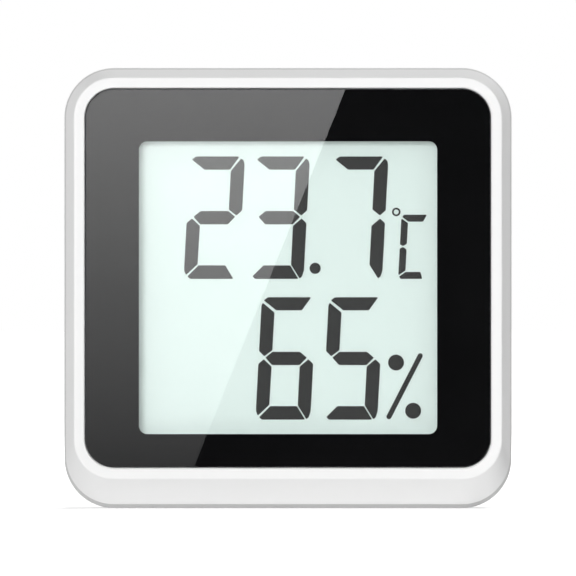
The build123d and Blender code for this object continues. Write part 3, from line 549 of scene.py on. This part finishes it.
# Display: a liquid crystal cell of two glasses with glue round them, a polarizer on the front and a
# reflector behind. The ground is pale mint, with a faint painted glow of its own that brightens it. Its
# lit figures are dark grey. The clear layers cast no shadow on it.
polarizer_mirror_share = 0.02
dress("display_front_polarizer", film_material(
    "polarizer_film", tint=(0.985, 0.995, 0.99), body_share=polarizer_mirror_share,
    gloss=0.0, dull=0.006, metallic=1.0,
))
dress("display_front_glass", film_material(
    "display_glass", tint=(0.985, 1.0, 0.995), body_share=0.006, gloss=0.2, dull=0.3, metallic=0.0
))
for node in ("display_front_polarizer", "display_front_glass"):
    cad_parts[node].visible_shadow = False
display_ground = skin_material(
    "display_ground", light=(0.84, 0.91, 0.895), dark=(0.825, 0.895, 0.88),
    gloss=0.5, dull=0.6, grain=2600, relief=0.03, cloud=420, specular=0.1,
)
ground_shader = display_ground.node_tree.nodes["Principled BSDF"].inputs
# Painted glow: the ground emits a little mint light of its own, though it is no lamp.
painted_ground_glow = 0.075
ground_shader["Emission Color"].default_value = (0.80, 0.89, 0.86, 1)
ground_shader["Emission Strength"].default_value = painted_ground_glow
dress("display_rear_glass", display_ground)
figure_ink = skin_material(
    "dark_figures", light=(0.052, 0.049, 0.05), dark=(0.046, 0.043, 0.044),
    gloss=0.55, dull=0.65, relief=0.02, specular=0,
)
dress("temperature_segments", figure_ink)
dress("humidity_segments", figure_ink)
dress("display_seal", skin_material(
    "seal_glue", light=(0.70, 0.68, 0.58), dark=(0.62, 0.60, 0.50), gloss=0.3, dull=0.45, relief=0.1
))
dress("display_reflector", skin_material(
    "reflector_film", light=(0.80, 0.82, 0.82), dark=(0.72, 0.74, 0.74),
    gloss=0.25, dull=0.35, grain=9000, relief=0.2, metallic=1.0,
))

# Gasket: closed-cell black foam, die-cut to a frame. The ledge and the display squeeze it, which
# keeps dust from under the window.
dress("window_gasket", skin_material(
    "black_foam", light=(0.03, 0.03, 0.03), dark=(0.012, 0.012, 0.012),
    gloss=0.85, dull=0.95, grain=3000, relief=0.9, cloud=600,
))

# Carrier: a tray of natural ABS behind the display, moulded in one piece. It locates the glass
# and the rubber strips over the board.
dress("display_carrier", skin_material(
    "white_carrier", light=(0.78, 0.78, 0.74), dark=(0.72, 0.72, 0.68),
    gloss=0.42, dull=0.5, relief=0.15,
))

# Connectors: silicone strips whose carbon layers show as fine stripes across them, squeezed
# between the glass and the gold-plated pads of the board.
connector_rubber = skin_material(
    "connector_rubber", light=(0.62, 0.45, 0.44), dark=(0.55, 0.38, 0.38),
    gloss=0.55, dull=0.7, relief=0.1,
)
rubber_tree = connector_rubber.node_tree
rubber_stripes = rubber_tree.nodes.new("ShaderNodeTexWave")
rubber_stripes.inputs["Scale"].default_value = 1600
rubber_stripes.inputs["Distortion"].default_value = 0.3
feed(rubber_tree, rubber_stripes.inputs["Vector"], object_place(rubber_tree))
carbon_from = 0.45
carbon_to = 0.55
carbon_share = span(rubber_tree, rubber_stripes.outputs["Fac"], carbon_from, carbon_to)
overlay(connector_rubber, carbon_share, (0.02, 0.02, 0.02))
dress("rubber_connectors", connector_rubber)
dress("board_pads", skin_material(
    "gold_pads", light=(0.95, 0.72, 0.36), dark=(0.88, 0.62, 0.28),
    gloss=0.22, dull=0.34, relief=0.15, metallic=1.0,
))

# Circuit board: glass-fibre laminate, screwed to the front shell. Copper tracks and plated holes
# show through its green lacquer.
board_green = skin_material(
    "board", light=(0.02, 0.19, 0.09), dark=(0.012, 0.14, 0.065), gloss=0.3, dull=0.42, relief=0.1
)
board_tree = board_green.node_tree
board_place = object_place(board_tree)
board_upright = board_tree.nodes.new("ShaderNodeMapping")
board_upright.inputs["Rotation"].default_value = (math.radians(90), 0, 0)
feed(board_tree, board_upright.inputs["Vector"], board_place)
tracks = board_tree.nodes.new("ShaderNodeTexBrick")
tracks.offset = 0.37
tracks.inputs["Scale"].default_value = 420
tracks.inputs["Mortar Size"].default_value = 0.06
tracks.inputs["Brick Width"].default_value = 1.7
tracks.inputs["Row Height"].default_value = 0.42
feed(board_tree, tracks.inputs["Vector"], board_upright.outputs["Vector"])
overlay(board_green, tracks.outputs["Fac"], (0.05, 0.30, 0.13))
hole_radius_share = 0.09
holes = board_tree.nodes.new("ShaderNodeTexVoronoi")
holes.inputs["Scale"].default_value = 330
feed(board_tree, holes.inputs["Vector"], board_place)
hole_share = maths(board_tree, "LESS_THAN", holes.outputs["Distance"], hole_radius_share)
overlay(board_green, hole_share, (0.70, 0.55, 0.28))
dress("main_board", board_green)

# Parts on the board: chips in black epoxy, a crystal in a metal can, small ceramic parts and the
# unit switch, all soldered on. The antenna is a copper track.
chip_epoxy = skin_material(
    "black_chip", light=(0.03, 0.03, 0.032), dark=(0.02, 0.02, 0.022),
    gloss=0.5, dull=0.62, grain=9000, relief=0.25,
)
for node in ("controller_chip", "display_driver_chip", "sensor_chip"):
    dress(node, chip_epoxy)
dress("clock_crystal", skin_material(
    "bright_lid", light=(0.72, 0.70, 0.64), dark=(0.62, 0.60, 0.54), gloss=0.25, dull=0.4, metallic=1.0
))
dress("chip_components", skin_material(
    "ceramic_parts", light=(0.42, 0.33, 0.24), dark=(0.33, 0.25, 0.18), gloss=0.45, dull=0.6, cloud=1500
))
dress("board_antenna", skin_material(
    "copper_trace", light=(0.87, 0.50, 0.32), dark=(0.78, 0.42, 0.26),
    gloss=0.28, dull=0.4, metallic=1.0,
))
dress("unit_switch", skin_material(
    "switch_case", light=(0.55, 0.55, 0.53), dark=(0.46, 0.46, 0.44),
    gloss=0.3, dull=0.42, cloud=700, metallic=0.8,
))
dress("switch_plunger", skin_material(
    "switch_plunger", light=(0.05, 0.05, 0.05), dark=(0.035, 0.035, 0.035), gloss=0.45, dull=0.55
))

# Coin cell: two nickel-plated steel cups crimped round a nylon ring, with fine turned rings on
# them. The wide cup is the plus side and faces the cover, and a gold-washed leaf and strip touch
# the cell.
can_low, can_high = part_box("cell_can")
cell_x = (can_low.x + can_high.x) / 2
cell_z = (can_low.z + can_high.z) / 2
ring_depth = 0.01 * MM
cell_steel = skin_material(
    "cell_steel", light=(0.80, 0.80, 0.79), dark=(0.72, 0.72, 0.71),
    gloss=0.2, dull=0.34, relief=0.1, metallic=1.0,
)
cell_tree = cell_steel.node_tree
cell_normal = cell_tree.nodes["Principled BSDF"].inputs["Normal"]
cell_place = vector_maths(cell_tree, "SUBTRACT", object_place(cell_tree), (cell_x, 0, cell_z))
cell_flat = vector_maths(cell_tree, "MULTIPLY", cell_place, (1, 0, 1))
cell_rings = cell_tree.nodes.new("ShaderNodeTexNoise")
cell_rings.noise_dimensions = "1D"
cell_rings.inputs["Scale"].default_value = 9000
feed(cell_tree, cell_rings.inputs["W"], vector_maths(cell_tree, "LENGTH", cell_flat))
ring_bump = cell_tree.nodes.new("ShaderNodeBump")
ring_bump.inputs["Strength"].default_value = 0.25
ring_bump.inputs["Distance"].default_value = ring_depth
feed(cell_tree, ring_bump.inputs["Height"], cell_rings.outputs["Fac"])
feed(cell_tree, ring_bump.inputs["Normal"], cell_normal.links[0].from_socket)
feed(cell_tree, cell_normal, ring_bump.outputs["Normal"])
dress("cell_can", cell_steel)
dress("cell_cap", cell_steel)
dress("cell_gasket", skin_material(
    "cell_plastic", light=(0.10, 0.10, 0.11), dark=(0.06, 0.06, 0.07), gloss=0.5, dull=0.6
))
contact_bronze = skin_material(
    "contact_metal", light=(0.83, 0.66, 0.42), dark=(0.74, 0.56, 0.34),
    gloss=0.22, dull=0.36, metallic=1.0,
)
dress("positive_contact", contact_bronze)
dress("negative_contact", contact_bronze)

# Plus sign: pressed up from the middle of the cell's wide cup, in the same steel. It shows when
# the cover is off.
plus_arm = 1.5 * MM
plus_width = 0.9 * MM
plus_rise = 0.03 * MM
plus_shape = bmesh.new()
plus_middle = Matrix.Translation((cell_x, can_high.y, cell_z))
plus_size = Matrix.Diagonal((plus_width, 2 * plus_rise, plus_width, 1))
bmesh.ops.create_cube(plus_shape, size=1, matrix=plus_middle @ plus_size)
sides = [face for face in plus_shape.faces if abs(face.normal.y) < 0.5]
arms = bmesh.ops.extrude_discrete_faces(plus_shape, faces=sides)["faces"]
for arm in arms:
    bmesh.ops.translate(plus_shape, verts=arm.verts, vec=arm.normal * plus_arm)
cell_plus = piece_from(plus_shape, "cell_plus_sign")
cell_plus.data.materials.append(cell_steel)
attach(cell_plus, "root")

# Fasteners: zinc-plated cross-head screws, which hold the shells together and the board to the
# front one, and two steel pins pressed across the stand's channel.
screw_steel = skin_material(
    "screw_steel", light=(0.62, 0.62, 0.61), dark=(0.52, 0.52, 0.51),
    gloss=0.28, dull=0.42, cloud=900, metallic=1.0,
)
dress("case_screws", screw_steel)
dress("board_screws", screw_steel)
dress("kickstand_pins", skin_material(
    "pin_steel", light=(0.66, 0.66, 0.65), dark=(0.58, 0.58, 0.57), gloss=0.22, dull=0.34, metallic=1.0
))

# Magnets: nickel-plated discs, glued into rings behind the back wall. They hold the sensor to a
# steel door.
dress("magnets", skin_material(
    "magnet_plate", light=(0.70, 0.69, 0.66), dark=(0.62, 0.61, 0.58),
    gloss=0.18, dull=0.28, metallic=1.0,
))

# Seal ring: a soft washer of grey silicone. The cover carries it under its flange and presses it
# on the shell.
dress("cover_seal_ring", skin_material(
    "grey_rubber", light=(0.18, 0.18, 0.19), dark=(0.13, 0.13, 0.14), gloss=0.5, dull=0.62, relief=0.2
))
